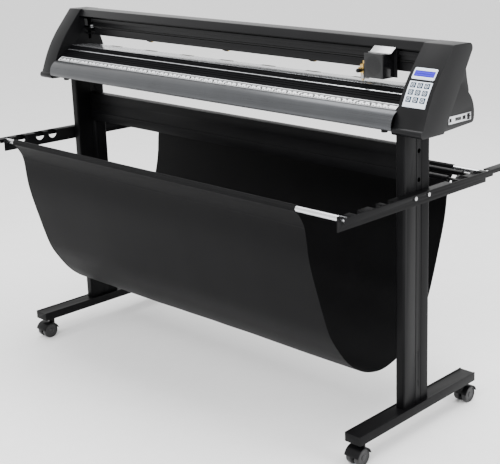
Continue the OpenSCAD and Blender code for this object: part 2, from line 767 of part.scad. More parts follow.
// blade holder on its short vertical slide beside the cover
module blade_holder() {
  color([0.75, 0.6, 0.25]) translate([holder_x, holder_y, base_z]) {
    difference() {
      union() {
        box(-9, 13.5, 10, 30, cover_bottom + 6, cover_bottom + 40);
        box(-9, 9, -9, 11, cover_bottom + 10, cover_bottom + 24);
      }
      rod_y(-10, 0, cover_bottom + 17, 2 + running);
    }
    translate([0, 0, holder_low + 6]) cylinder(h = 40, r = holder_radius);
    translate([0, 0, holder_low + 2]) cylinder(h = 5, r = holder_radius - 2.5);
    translate([0, 0, holder_low]) cylinder(h = 3, r = 0.8);
    translate([0, 0, cover_bottom + 26]) cylinder(h = 6, r = holder_radius + 2);
  }
}

module rod_y(y0, y1, z, r) {
  translate([0, y0, z]) rotate([-90, 0, 0]) cylinder(h = y1 - y0, r = r);
}

module clamp_screw() {
  color([0.05, 0.05, 0.05]) translate([holder_x, holder_y, base_z]) {
    rod_y(-24, -11, cover_bottom + 17, 5.5);
    rod_y(-12, -6.4, cover_bottom + 17, 2);
  }
}

// ---------------------------------------------------------------- feed

module feed_shaft() {
  color([0.7, 0.7, 0.72]) translate([0, 0, base_z]) {
    rod_x(in_left - end_plate - 4, in_right + end_plate + 14, shaft_y, grit_z, shaft_radius);
    for (k = [-3 : 4]) rod_x(pinch_middle + k * grit_pitch - grit_length / 2,
      pinch_middle + k * grit_pitch + grit_length / 2, shaft_y, grit_z, grit_radius);
  }
}

module feed_motor() {
  x = in_right + end_plate;
  color([0.25, 0.25, 0.27]) translate([0, 0, base_z]) difference() {
    rod_x(x, x + 70, shaft_y, grit_z, 14.5);
    rod_x(x - 1, x + 16, shaft_y, grit_z, shaft_radius + running);
  }
}

module pinch_bar() {
  color([0.2, 0.2, 0.21]) translate([0, 0, base_z]) {
    box(in_left - end_plate - 2, in_right + end_plate + 2, shaft_y - bar_half, shaft_y + bar_half,
      bar_low, bar_low + bar_height);
    for (x = pinch_x) {
      for (k = [-1, 1]) box(x + k * 10.5 - 1, x + k * 10.5 + 1, shaft_y - 7, shaft_y + 7,
        pinch_z - 5, bar_low + 1);
      rod_x(x - 10, x + 10, shaft_y, pinch_z, 2);
    }
  }
}

module pinch_roller(i) {
  color([0.15, 0.12, 0.08]) translate([0, 0, base_z]) difference() {
    union() {
      rod_x(pinch_x[i] - 6, pinch_x[i] + 6, shaft_y, pinch_z, pinch_radius);
      rod_x(pinch_x[i] - 9, pinch_x[i] + 9, shaft_y, pinch_z, pinch_radius - 3);
    }
    rod_x(pinch_x[i] - 10, pinch_x[i] + 10, shaft_y, pinch_z, 2 + running);
  }
}

module pinch_roller_left() { pinch_roller(0); }
module pinch_roller_middle() { pinch_roller(1); }
module pinch_roller_right() { pinch_roller(2); }

// ---------------------------------------------------------------- electronics and controls

module main_board() {
  color([0.05, 0.35, 0.15]) translate([0, 0, base_z]) {
    box(in_right + 64, in_right + 65.6, -45, 25, 4, 68);
    for (k = [0 : 3]) box(in_right + 65.6, in_right + 71, -38 + k * 15, -28 + k * 15, 20, 40);
    for (p = [[-38, 52], [18, 52], [18, 62]]) rod_x(in_right + end_plate, in_right + 65, p[0], p[1], 2.5);
  }
}

module power_supply() {
  color([0.6, 0.6, 0.62]) translate([0, 0, base_z])
    box(in_right + end_plate, in_right + end_plate + 46, -62, 20, 3, 43);
}

module display() {
  inset = panel_rim + panel_fit;
  color([0.9, 0.9, 0.92]) translate([0, 0, base_z]) on_panel(panel_x, display_angle) difference() {
    union() {
      box(-panel_width / 2, panel_width / 2, -display_height / 2, display_height / 2, 0, 2);
      box(inset - panel_width / 2, panel_width / 2 - inset, inset - display_height / 2,
        display_height / 2 - inset, -7, 1);
    }
    box(-32.2, 32.2, -8.5, 8.5, 1, 3);
  }
}

module key_panel() {
  color([0.85, 0.87, 0.9]) translate([0, 0, base_z]) difference() {
    union() {
      keypad_band(0, 0, keypad_sheet);
      keypad_band(panel_rim + panel_fit, -2, keypad_sheet / 2);
    }
    for (i = [-1 : 1], j = [-1 : 1]) on_key(i, j)
      box(-key_width / 2 - gap, key_width / 2 + gap, -key_height / 2 - gap, key_height / 2 + gap, -4, 4);
  }
}

// i counts columns from the left, j rows from the bottom, both -1 to 1
module on_key(i, j) {
  on_panel(panel_x + i * key_pitch_x, keys_angle - j * key_pitch_s / bow_degree) children();
}

module key(i, j) {
  color([0.25, 0.3, 0.4]) translate([0, 0, base_z]) on_key(i, j)
    box(-key_width / 2, key_width / 2, -key_height / 2, key_height / 2, -2, keypad_sheet + key_travel);
}

module port_plate() {
  x = side_face;
  color([0.75, 0.76, 0.78]) translate([0, 0, base_z]) {
    difference() {
      union() {
        box(x, x + 1.5, port_y0, port_y1, port_low, port_high);
        box(x - 10, x + 1, port_y0 + 4, switch_y - 8, port_low + 4, port_high - 4);
      }
      box(x - 6, x + 2, small_socket_y - 5, small_socket_y + 5, switch_z - 5, switch_z + 5);
      box(x - 6, x + 2, serial_y - 13, serial_y + 13, switch_z - 4.2, switch_z + 4.2);
      box(x - 8, x + 2, inlet_y - 7, inlet_y + 7, switch_z - 5, switch_z + 5);
      box(x - 1, x + 3, switch_y - 6 - gap, switch_y + 6 + gap, switch_z - 8 - gap, switch_z + 8 + gap);
    }
    box(x - 7, x, serial_y - 10, serial_y + 10, switch_z - 2, switch_z + 2);
    box(x - 7, x, small_socket_y - 3, small_socket_y + 3, switch_z - 2, switch_z + 2);
    for (k = [-3, 0, 3]) rod_x(x - 9, x, inlet_y + k, switch_z, 1);
  }
}

module power_switch() {
  x = side_face;
  color([0.05, 0.05, 0.05]) translate([x - 3, switch_y, base_z + switch_z]) rotate([0, -10, 0])
    difference() {
      rod_y(-6, 6, 0, 7.6);
      box(-10, -2, -7, 7, -8, 8);
      for (k = [-1, 1]) rotate([0, k * 10, 0]) box(4.2, 10, -7, 7, k > 0 ? -8 : 0, k > 0 ? 0 : 8);
    }
}

foot_beam_left();
foot_beam_right();
column_left();
column_right();
cross_beam();
stand_bolts();
caster_hood_fl();
caster_hood_fr();
caster_hood_rl();
caster_hood_rr();
caster_wheels_fl();
caster_wheels_fr();
caster_wheels_rl();
caster_wheels_rr();
arm_left();
arm_right();
basket_rods();
basket_cloth();
media_roller_outer();
media_roller_inner();
machine_feet();
chassis();
platen();
rear_guide();
ruler_strip();
front_cover();
end_plates();
left_cap();
right_cap();
gantry_beam();
carriage_belt();
drive_pulley();
idler_pulley();
carriage_motor();
carriage_base();
carriage_cover();
carriage_bracket();
blade_holder();
clamp_screw();
feed_shaft();
feed_motor();
pinch_bar();
pinch_roller_left();
pinch_roller_middle();
pinch_roller_right();
main_board();
power_supply();
display();
key_panel();
key(-1, 1);  // key_a1
key(0, 1);  // key_a2
key(1, 1);  // key_a3
key(-1, 0);  // key_b1
key(0, 0);  // key_b2
key(1, 0);  // key_b3
key(-1, -1);  // key_c1
key(0, -1);  // key_c2
key(1, -1);  // key_c3
port_plate();
power_switch();
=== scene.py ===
# Looks of a roll-fed cutting plotter on a wheeled stand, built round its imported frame.
import bpy
import bmesh
import json
import math
from mathutils import Matrix, Vector, noise


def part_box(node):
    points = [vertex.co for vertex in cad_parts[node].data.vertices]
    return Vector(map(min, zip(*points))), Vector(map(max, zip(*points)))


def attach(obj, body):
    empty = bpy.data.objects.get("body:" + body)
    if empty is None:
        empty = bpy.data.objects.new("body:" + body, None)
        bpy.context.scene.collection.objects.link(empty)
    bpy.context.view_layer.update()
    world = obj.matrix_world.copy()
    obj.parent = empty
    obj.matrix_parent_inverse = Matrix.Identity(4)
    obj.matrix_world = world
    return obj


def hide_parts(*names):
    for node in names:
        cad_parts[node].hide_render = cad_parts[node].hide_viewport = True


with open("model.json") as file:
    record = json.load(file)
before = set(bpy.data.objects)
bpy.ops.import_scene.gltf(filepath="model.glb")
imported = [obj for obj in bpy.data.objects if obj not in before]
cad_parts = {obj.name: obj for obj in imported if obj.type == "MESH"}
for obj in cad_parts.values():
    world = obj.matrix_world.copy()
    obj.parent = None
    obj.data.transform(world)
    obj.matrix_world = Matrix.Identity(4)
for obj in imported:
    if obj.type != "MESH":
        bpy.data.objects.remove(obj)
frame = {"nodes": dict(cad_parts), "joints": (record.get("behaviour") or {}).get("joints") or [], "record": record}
nodes = frame["nodes"]
body_of_node = {n: b for b, names in frame["record"]["behaviour"]["bodies"].items() for n in names}
slot_of_node = {s["node"]: s["material_slot"] for s in frame["record"]["subparts"]}
joint_of_child = {j["child"]: j for j in frame["joints"]}
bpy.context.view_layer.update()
mm = 0.001


# ------------------------------------------------------------------ shader groups

def shader_group(name, inputs, outputs):
    tree = bpy.data.node_groups.new(name, "ShaderNodeTree")
    for title, kind, value in inputs:
        socket = tree.interface.new_socket(title, in_out="INPUT", socket_type=kind)
        if value is not None:
            socket.default_value = value
    for title, kind in outputs:
        tree.interface.new_socket(title, in_out="OUTPUT", socket_type=kind)
    return tree, tree.nodes.new("NodeGroupInput"), tree.nodes.new("NodeGroupOutput")


def math_node(tree, operation, a, b=None):
    node = tree.nodes.new("ShaderNodeMath")
    node.operation = operation
    for socket, value in zip(node.inputs, (a, b)):
        if value is None:
            continue
        if isinstance(value, (int, float)):
            socket.default_value = value
        else:
            tree.links.new(value, socket)
    return node.outputs[0]


def noise_node(tree, vector, scale, detail=4.0, roughness=0.55):
    node = tree.nodes.new("ShaderNodeTexNoise")
    node.inputs["Detail"].default_value = detail
    node.inputs["Roughness"].default_value = roughness
    if isinstance(scale, (int, float)):
        node.inputs["Scale"].default_value = scale
    else:
        tree.links.new(scale, node.inputs["Scale"])
    tree.links.new(vector, node.inputs["Vector"])
    return node.outputs[0]


def stretched(tree, vector, scale):
    node = tree.nodes.new("ShaderNodeMapping")
    node.inputs["Scale"].default_value = scale
    tree.links.new(vector, node.inputs["Vector"])
    return node.outputs[0]


def make_grain_group():
    """Fine textured coat: an even speckle over a slow cloudy variation."""
    tree, start, end = shader_group("coat_grain", [("Vector", "NodeSocketVector", None),
        ("Scale", "NodeSocketFloat", 900.0)], [("Shade", "NodeSocketFloat"), ("Height", "NodeSocketFloat")])
    fine = noise_node(tree, start.outputs["Vector"], start.outputs["Scale"], 3.0)
    slow = noise_node(tree, start.outputs["Vector"], 7.0, 3.0)
    mixed = math_node(tree, "ADD", math_node(tree, "MULTIPLY", fine, 0.45), math_node(tree, "MULTIPLY", slow, 0.55))
    tree.links.new(mixed, end.inputs["Shade"])
    tree.links.new(fine, end.inputs["Height"])
    return tree


def make_lines_group():
    """Long drawn lines that run along the machine, as an extrusion die leaves them."""
    tree, start, end = shader_group("drawn_lines", [("Vector", "NodeSocketVector", None),
        ("Scale", "NodeSocketFloat", 500.0)], [("Shade", "NodeSocketFloat"), ("Height", "NodeSocketFloat")])
    thin = noise_node(tree, stretched(tree, start.outputs["Vector"], (0.004, 1.0, 1.0)), start.outputs["Scale"], 2.0)
    slow = noise_node(tree, start.outputs["Vector"], 5.0, 2.0)
    mixed = math_node(tree, "ADD", math_node(tree, "MULTIPLY", thin, 0.6), math_node(tree, "MULTIPLY", slow, 0.4))
    tree.links.new(mixed, end.inputs["Shade"])
    tree.links.new(thin, end.inputs["Height"])
    return tree


def make_weave_group():
    """Plain weave from a UV map in metres: two sets of threads that pass over and under."""
    tree, start, end = shader_group("plain_weave", [("Vector", "NodeSocketVector", None),
        ("Scale", "NodeSocketFloat", 900.0)], [("Shade", "NodeSocketFloat"), ("Height", "NodeSocketFloat")])
    split = tree.nodes.new("ShaderNodeSeparateXYZ")
    tree.links.new(start.outputs["Vector"], split.inputs[0])
    threads = []
    for axis in (0, 1):
        turn = math_node(tree, "MULTIPLY", split.outputs[axis], start.outputs["Scale"])
        turn = math_node(tree, "MULTIPLY", turn, math.pi)
        threads.append(math_node(tree, "SINE", turn))
    crossing = math_node(tree, "MULTIPLY", threads[0], threads[1])
    rounded = math_node(tree, "ADD", math_node(tree, "MULTIPLY", crossing, 0.5), 0.5)
    slub = noise_node(tree, stretched(tree, start.outputs["Vector"], (1.0, 0.06, 1.0)), 260.0, 2.0)
    cloudy = noise_node(tree, start.outputs["Vector"], 4.0, 3.0)
    shade = math_node(tree, "ADD", math_node(tree, "MULTIPLY", slub, 0.35), math_node(tree, "MULTIPLY", cloudy, 0.35))
    shade = math_node(tree, "ADD", shade, math_node(tree, "MULTIPLY", rounded, 0.3))
    tree.links.new(shade, end.inputs["Shade"])
    tree.links.new(rounded, end.inputs["Height"])
    return tree


def make_dust_group():
    """Mask of soft patches, for dust and handling marks."""
    tree, start, end = shader_group("handled", [("Vector", "NodeSocketVector", None),
        ("Amount", "NodeSocketFloat", 0.3)], [("Mask", "NodeSocketFloat")])
    patches = noise_node(tree, start.outputs["Vector"], 11.0, 6.0, 0.7)
    ramp = tree.nodes.new("ShaderNodeMapRange")
    ramp.inputs["From Min"].default_value = 0.45
    ramp.inputs["From Max"].default_value = 0.8
    tree.links.new(patches, ramp.inputs["Value"])
    tree.links.new(math_node(tree, "MULTIPLY", ramp.outputs[0], start.outputs["Amount"]), end.inputs["Mask"])
    return tree


patterns = {"grain": make_grain_group(), "lines": make_lines_group(), "weave": make_weave_group()}
dust_group = make_dust_group()


def finish(name, dark, light, rough=(0.4, 0.5), metallic=0.0, pattern="grain", scale=900.0, bump=0.15,
           depth=0.00005, coat=0.0, dust=0.12, sheen=0.0, shine=0.5, glow=None):
    """A procedural surface: colour and roughness vary with the pattern, and its height drives the bump."""
    mat = bpy.data.materials.new(name)
    mat.use_nodes = True
    tree = mat.node_tree
    shader = tree.nodes["Principled BSDF"]
    shader.inputs["Metallic"].default_value = metallic
    shader.inputs["Coat Weight"].default_value = coat
    shader.inputs["Specular IOR Level"].default_value = shine
    shader.inputs["Coat Roughness"].default_value = 0.12
    shader.inputs["Sheen Weight"].default_value = sheen
    shader.inputs["Sheen Roughness"].default_value = 0.4
    place = tree.nodes.new("ShaderNodeTexCoord")
    vector = place.outputs["UV" if pattern == "weave" else "Object"]
    texture = tree.nodes.new("ShaderNodeGroup")
    texture.node_tree = patterns[pattern]
    texture.inputs["Scale"].default_value = scale
    tree.links.new(vector, texture.inputs["Vector"])
    mask = tree.nodes.new("ShaderNodeGroup")
    mask.node_tree = dust_group
    mask.inputs["Amount"].default_value = dust
    tree.links.new(place.outputs["Object"], mask.inputs["Vector"])
    ramp = tree.nodes.new("ShaderNodeValToRGB")
    ramp.color_ramp.elements[0].position = 0.3
    ramp.color_ramp.elements[1].position = 0.7
    ramp.color_ramp.elements[0].color = (*dark, 1)
    ramp.color_ramp.elements[1].color = (*light, 1)
    tree.links.new(texture.outputs["Shade"], ramp.inputs["Fac"])
    dusty = tree.nodes.new("ShaderNodeMix")
    dusty.data_type = "RGBA"
    dusty.inputs["B"].default_value = (*[min(1.0, c * 1.6 + 0.004) for c in light], 1)
    tree.links.new(mask.outputs["Mask"], dusty.inputs["Factor"])
    tree.links.new(ramp.outputs["Color"], dusty.inputs["A"])
    tree.links.new(dusty.outputs["Result"], shader.inputs["Base Color"])
    polish = tree.nodes.new("ShaderNodeMapRange")
    polish.inputs["To Min"].default_value = rough[0]
    polish.inputs["To Max"].default_value = rough[1]
    tree.links.new(math_node(tree, "ADD", texture.outputs["Shade"], mask.outputs["Mask"]), polish.inputs["Value"])
    tree.links.new(polish.outputs[0], shader.inputs["Roughness"])
    relief = tree.nodes.new("ShaderNodeBump")
    relief.inputs["Strength"].default_value = bump
    relief.inputs["Distance"].default_value = depth
    tree.links.new(texture.outputs["Height"], relief.inputs["Height"])
    tree.links.new(relief.outputs[0], shader.inputs["Normal"])
    if glow:
        tree.links.new(ramp.outputs["Color"], shader.inputs["Emission Color"])
        shader.inputs["Emission Strength"].default_value = glow
    return mat


black_coat = finish("black_powder_coat", (0.0018, 0.0018, 0.002), (0.0045, 0.0045, 0.005), (0.34, 0.46), bump=0.3,
    shine=0.07)
black_anodised = finish("black_anodised", (0.002, 0.002, 0.0024), (0.0055, 0.0055, 0.006), (0.26, 0.38),
    pattern="lines", bump=0.12, shine=0.16)
deck_black = finish("grooved_deck", (0.0014, 0.0014, 0.0017), (0.004, 0.004, 0.0046), (0.42, 0.56),
    pattern="lines", bump=0.15, shine=0.02)
charcoal_shell = finish("charcoal_shell", (0.002, 0.0021, 0.0024), (0.004, 0.0041, 0.0046), (0.32, 0.42), scale=1400.0,
    bump=0.12, coat=0.02, shine=0.17)
grey_sheet = finish("grey_cover_sheet", (0.062, 0.064, 0.068), (0.092, 0.095, 0.1), (0.24, 0.33), metallic=0.85,
    pattern="lines", bump=0.06, shine=0.4)
bright_strip = finish("bright_deck_strip", (0.5, 0.51, 0.53), (0.7, 0.71, 0.73), (0.14, 0.26), metallic=0.9,
    pattern="lines", bump=0.06)
bright_rod = finish("drawn_rod", (0.6, 0.61, 0.63), (0.8, 0.81, 0.83), (0.2, 0.32), metallic=1.0,
    pattern="lines", scale=900.0, bump=0.1)
zinc = finish("zinc_plate", (0.34, 0.34, 0.35), (0.52, 0.52, 0.52), (0.26, 0.42), metallic=1.0, scale=160.0, bump=0.05)
turned_brass = finish("turned_brass", (0.42, 0.27, 0.08), (0.7, 0.48, 0.17), (0.16, 0.3), metallic=1.0, scale=300.0)
moulded_black = finish("moulded_black", (0.0015, 0.0015, 0.0018), (0.004, 0.004, 0.0045), (0.3, 0.42), scale=1200.0,
    shine=0.12)
gloss_black = finish("gloss_black_plastic", (0.003, 0.003, 0.0035), (0.006, 0.006, 0.007), (0.16, 0.24), scale=700.0,
    bump=0.05, coat=0.1, shine=0.35)
wheel_grey = finish("wheel_nylon", (0.006, 0.006, 0.0065), (0.014, 0.014, 0.015), (0.32, 0.46), scale=500.0, dust=0.3,
    shine=0.35)
soft_rubber = finish("black_rubber", (0.005, 0.005, 0.005), (0.011, 0.011, 0.011), (0.6, 0.75), scale=700.0, dust=0.3,
    shine=0.25)
grit_sleeve = finish("grit_sleeve", (0.1, 0.095, 0.09), (0.3, 0.29, 0.27), (0.5, 0.7), metallic=0.6, scale=1600.0,
    bump=0.8, depth=0.0002)
carriage_front = finish("carriage_front_grey", (0.006, 0.0062, 0.0066), (0.012, 0.0123, 0.0128), (0.3, 0.42), scale=800.0,
    shine=0.4)
panel_white = finish("panel_white", (0.62, 0.68, 0.76), (0.76, 0.81, 0.87), (0.24, 0.34), scale=600.0, bump=0.03,
    coat=0.15, dust=0.02)
key_blue = finish("key_blue", (0.003, 0.016, 0.034), (0.006, 0.026, 0.05), (0.3, 0.4), scale=500.0, bump=0.05,
    dust=0.0, shine=0.25)
scale_white = finish("scale_white", (0.62, 0.63, 0.65), (0.78, 0.79, 0.8), (0.25, 0.4), pattern="lines", bump=0.04)
scale_ink = finish("scale_ink", (0.003, 0.003, 0.0035), (0.01, 0.01, 0.01), (0.5, 0.6), scale=700.0)
socket_metal = finish("socket_plate", (0.5, 0.51, 0.53), (0.68, 0.69, 0.71), (0.25, 0.4), metallic=0.8, scale=260.0)
board_green = finish("board_green", (0.01, 0.09, 0.03), (0.02, 0.16, 0.06), (0.3, 0.45), scale=350.0)
screen_blue = finish("screen_blue", (0.012, 0.004, 0.3), (0.025, 0.008, 0.44), (0.2, 0.28), scale=90.0, bump=0.0,
    dust=0.0, shine=0.2, glow=0.35)
screen_pale = finish("screen_characters", (0.03, 0.015, 0.4), (0.05, 0.03, 0.52), (0.2, 0.3), scale=200.0, bump=0.0,
    dust=0.0, glow=0.6)
dark_cloth = finish("woven_basket_cloth", (0.0012, 0.0012, 0.0014), (0.0036, 0.0036, 0.004), (0.5, 0.66),
    pattern="weave", scale=900.0, bump=0.5, depth=0.0003, sheen=0.02, dust=0.15, shine=0.06)
thread = finish("black_thread", (0.006, 0.006, 0.007), (0.016, 0.016, 0.018), (0.6, 0.7), scale=2000.0, bump=0.4,
    shine=0.3)

surface = {
    "black_steel": black_coat, "black_aluminium": black_anodised, "grey_cover": grey_sheet,
    "bright_aluminium": bright_rod, "shell": charcoal_shell, "black_plastic": moulded_black,
    "carriage_plastic": gloss_black, "zinc": zinc, "bright_steel": grit_sleeve, "brass": turned_brass,
    "rubber": soft_rubber, "wheel": wheel_grey, "cloth": dark_cloth, "ruler": scale_white,
    "board": board_green, "display": panel_white, "key_panel": panel_white, "key": panel_white,
    "port_metal": socket_metal, "motor": black_coat,
}
special = {"platen": deck_black, "rear_guide": bright_strip, "cross_beam": black_coat}


# ------------------------------------------------------------------ mesh helpers

def smooth_by_angle(mesh, degrees=35.0):
    shape = bmesh.new()
    shape.from_mesh(mesh)
    for face in shape.faces:
        face.smooth = True
    limit = math.radians(degrees)
    for edge in shape.edges:
        edge.smooth = len(edge.link_faces) == 2 and edge.calc_face_angle(0.0) < limit
    shape.to_mesh(mesh)
    shape.free()


def new_object(name, mesh):
    piece = bpy.data.objects.new(name, mesh)
    bpy.context.scene.collection.objects.link(piece)
    return piece


def settle(piece, material=None):
    """Applies the piece's modifiers and leaves a plain smooth-shaded mesh."""
    graph = bpy.context.evaluated_depsgraph_get()
    graph.update()
    ready = piece.evaluated_get(graph)
    mesh = bpy.data.meshes.new_from_object(ready, preserve_all_data_layers=True, depsgraph=graph)
    piece.modifiers.clear()
    piece.data = mesh
    mesh.name = piece.name
    if material:
        mesh.materials.clear()
        mesh.materials.append(material)
    smooth_by_angle(mesh)
    return piece


def bevelled(piece, width, segments=3, degrees=33.0):
    bevel = piece.modifiers.new("edges", "BEVEL")
    bevel.width = width
    bevel.segments = segments
    bevel.limit_method = "ANGLE"
    bevel.angle_limit = math.radians(degrees)
    bevel.use_clamp_overlap = True


def place(piece, body, slot, replaces=()):
    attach(piece, body)
    if replaces:
        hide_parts(*replaces)
    return piece


def soften(node, width, segments=3, material=None):
    """A copy of a CAD node with its doubles merged and its edges rounded, shown in its place."""
    shape = bmesh.new()
    shape.from_mesh(nodes[node].data)
    bmesh.ops.remove_doubles(shape, verts=shape.verts, dist=1e-6)
    bmesh.ops.dissolve_limit(shape, angle_limit=math.radians(0.3), verts=shape.verts, edges=shape.edges)
    mesh = bpy.data.meshes.new(node + "_finished")
    shape.to_mesh(mesh)
    shape.free()
    piece = new_object(node + "_finished", mesh)
    bevelled(piece, width, segments)
    settle(piece, material or special.get(node) or surface[slot_of_node[node]])
    return place(piece, body_of_node[node], slot_of_node[node], (node,))


def lathe(name, profile, origin, axis, material, steps=40):
    """Turns a profile of (distance along the axis, radius) points round the axis through origin."""
    turn = Vector(axis).to_track_quat("Z", "Y").to_matrix()
    shape = bmesh.new()
    rings = []
    for along, radius in profile:
        if radius < 1e-7:
            rings.append([shape.verts.new((0, 0, along))])
            continue
        angles = [2 * math.pi * i / steps for i in range(steps)]
        rings.append([shape.verts.new((radius * math.cos(a), radius * math.sin(a), along)) for a in angles])
    for low, high in zip(rings, rings[1:]):
        for i in range(steps):
            j = (i + 1) % steps
            corners = [low[i % len(low)], low[j % len(low)], high[j % len(high)], high[i % len(high)]]
            unique = list(dict.fromkeys(corners))
            if len(unique) > 2:
                shape.faces.new(unique)
    bmesh.ops.recalc_face_normals(shape, faces=shape.faces)
    mesh = bpy.data.meshes.new(name)
    shape.to_mesh(mesh)
    shape.free()
    mesh.transform(Matrix.Translation(origin) @ turn.to_4x4())
    mesh.materials.append(material)
    smooth_by_angle(mesh)
    return new_object(name, mesh)


# ------------------------------------------------------------------ geometry node trees

def geometry_tree(name, inputs):
    tree = bpy.data.node_groups.new(name, "GeometryNodeTree")
    tree.interface.new_socket("Geometry", in_out="INPUT", socket_type="NodeSocketGeometry")
    for title, kind in inputs:
        tree.interface.new_socket(title, in_out="INPUT", socket_type=kind)
    tree.interface.new_socket("Geometry", in_out="OUTPUT", socket_type="NodeSocketGeometry")
    return tree, tree.nodes.new("NodeGroupInput"), tree.nodes.new("NodeGroupOutput")


def finish_tree(tree, source, material, end):
    real = tree.nodes.new("GeometryNodeRealizeInstances")
    paint = tree.nodes.new("GeometryNodeSetMaterial")
    tree.links.new(source, real.inputs[0])
    tree.links.new(real.outputs[0], paint.inputs["Geometry"])
    tree.links.new(material, paint.inputs["Material"])
    tree.links.new(paint.outputs[0], end.inputs[0])


def make_row_tree():
    """Equal small blocks along a straight line."""
    tree, start, end = geometry_tree("row_of_blocks", [("Count", "NodeSocketInt"), ("First", "NodeSocketVector"),
        ("Step", "NodeSocketVector"), ("Size", "NodeSocketVector"), ("Turn", "NodeSocketVector"),
        ("Material", "NodeSocketMaterial")])
    line = tree.nodes.new("GeometryNodeMeshLine")
    block = tree.nodes.new("GeometryNodeMeshCube")
    copies = tree.nodes.new("GeometryNodeInstanceOnPoints")
    rotation = tree.nodes.new("FunctionNodeEulerToRotation")
    tree.links.new(start.outputs["Count"], line.inputs["Count"])
    tree.links.new(start.outputs["First"], line.inputs["Start Location"])
    tree.links.new(start.outputs["Step"], line.inputs["Offset"])
    tree.links.new(start.outputs["Size"], block.inputs["Size"])
    tree.links.new(start.outputs["Turn"], rotation.inputs[0])
    tree.links.new(line.outputs[0], copies.inputs["Points"])
    tree.links.new(block.outputs[0], copies.inputs["Instance"])
    tree.links.new(rotation.outputs[0], copies.inputs["Rotation"])
    finish_tree(tree, copies.outputs[0], start.outputs["Material"], end)
    return tree


def make_stud_tree():
    """A round stud, such as a screw head or a dark disc of painted shade for a vent hole, at each point of a mesh."""
    tree, start, end = geometry_tree("studs_on_points", [("Radius", "NodeSocketFloat"), ("Height", "NodeSocketFloat"),
        ("Sides", "NodeSocketInt"), ("Turn", "NodeSocketVector"), ("Material", "NodeSocketMaterial")])
    stud = tree.nodes.new("GeometryNodeMeshCylinder")
    copies = tree.nodes.new("GeometryNodeInstanceOnPoints")
    rotation = tree.nodes.new("FunctionNodeEulerToRotation")
    tree.links.new(start.outputs["Sides"], stud.inputs["Vertices"])
    tree.links.new(start.outputs["Radius"], stud.inputs["Radius"])
    tree.links.new(start.outputs["Height"], stud.inputs["Depth"])
    tree.links.new(start.outputs["Turn"], rotation.inputs[0])
    tree.links.new(start.outputs[0], copies.inputs["Points"])
    tree.links.new(stud.outputs[0], copies.inputs["Instance"])
    tree.links.new(rotation.outputs[0], copies.inputs["Rotation"])
    finish_tree(tree, copies.outputs[0], start.outputs["Material"], end)
    return tree


def make_stitch_tree():
    """Short threads at an even pitch along a path of edges."""
    tree, start, end = geometry_tree("stitches_on_path", [("Pitch", "NodeSocketFloat"), ("Length", "NodeSocketFloat"),
        ("Thickness", "NodeSocketFloat"), ("Material", "NodeSocketMaterial")])
    curve = tree.nodes.new("GeometryNodeMeshToCurve")
    spaced = tree.nodes.new("GeometryNodeResampleCurve")
    spaced.mode = "LENGTH"
    points = tree.nodes.new("GeometryNodeCurveToPoints")
    points.mode = "EVALUATED"
    size = tree.nodes.new("ShaderNodeCombineXYZ")
    block = tree.nodes.new("GeometryNodeMeshCube")
    copies = tree.nodes.new("GeometryNodeInstanceOnPoints")
    tree.links.new(start.outputs[0], curve.inputs[0])
    tree.links.new(curve.outputs[0], spaced.inputs["Curve"])
    tree.links.new(start.outputs["Pitch"], spaced.inputs["Length"])
    tree.links.new(spaced.outputs[0], points.inputs[0])
    tree.links.new(start.outputs["Thickness"], size.inputs[0])
    tree.links.new(start.outputs["Thickness"], size.inputs[1])
    tree.links.new(start.outputs["Length"], size.inputs[2])
    tree.links.new(size.outputs[0], block.inputs["Size"])
    tree.links.new(points.outputs["Points"], copies.inputs["Points"])
    tree.links.new(points.outputs["Rotation"], copies.inputs["Rotation"])
    tree.links.new(block.outputs[0], copies.inputs["Instance"])
    finish_tree(tree, copies.outputs[0], start.outputs["Material"], end)
    return tree


row_tree = make_row_tree()
stud_tree = make_stud_tree()
stitch_tree = make_stitch_tree()


def grown(name, tree, verts, edges, values):
    """Runs a geometry tree on a small mesh and returns the plain result."""
    mesh = bpy.data.meshes.new(name)
    mesh.from_pydata([tuple(v) for v in verts], edges, [])
    piece = new_object(name, mesh)
    modifier = piece.modifiers.new("grow", "NODES")
    modifier.node_group = tree
    sockets = {s.name: s.identifier for s in tree.interface.items_tree if s.in_out == "INPUT"}
    for title, value in values.items():
        modifier[sockets[title]] = value
    return settle(piece)


def studs(name, points, radius, height, axis, material, sides=16):
    turn = Vector(axis).to_track_quat("Z", "Y").to_euler()
    return grown(name, stud_tree, points, [], {"Radius": radius, "Height": height, "Sides": sides,
        "Turn": tuple(turn), "Material": material})


def row(name, count, first, step, size, turn, material):
    return grown(name, row_tree, [(0, 0, 0)], [], {"Count": count, "First": tuple(first), "Step": tuple(step),
        "Size": tuple(size), "Turn": tuple(turn), "Material": material})


def stitches(name, path, pitch=5 * mm, length=3.2 * mm, thickness=0.6 * mm):
    edges = [(i, i + 1) for i in range(len(path) - 1)]
    return grown(name, stitch_tree, path, edges, {"Pitch": pitch, "Length": length, "Thickness": thickness,
        "Material": thread})


# ------------------------------------------------------------------ CAD nodes that stay

for name, node in nodes.items():
    node.data.materials.clear()
    node.data.materials.append(special.get(name) or surface[slot_of_node[name]])

softened = {
    "left_cap": 1.2, "right_cap": 1.2, "foot_beam_left": 1.0, "foot_beam_right": 1.0,
    "column_left": 0.7, "column_right": 0.7, "cross_beam": 0.8, "arm_left": 0.5, "arm_right": 0.5,
    "gantry_beam": 0.8, "front_cover": 0.5, "platen": 0.4, "end_plates": 0.3, "carriage_base": 0.6,
    "carriage_bracket": 0.4, "pinch_bar": 0.5, "rear_guide": 0.3,
    "caster_hood_fl": 1.0, "caster_hood_fr": 1.0, "caster_hood_rl": 1.0, "caster_hood_rr": 1.0,
    "port_plate": 0.3, "power_switch": 0.5, "power_supply": 0.8, "carriage_motor": 1.5,
}
for name, width in softened.items():
    soften(name, width * mm)


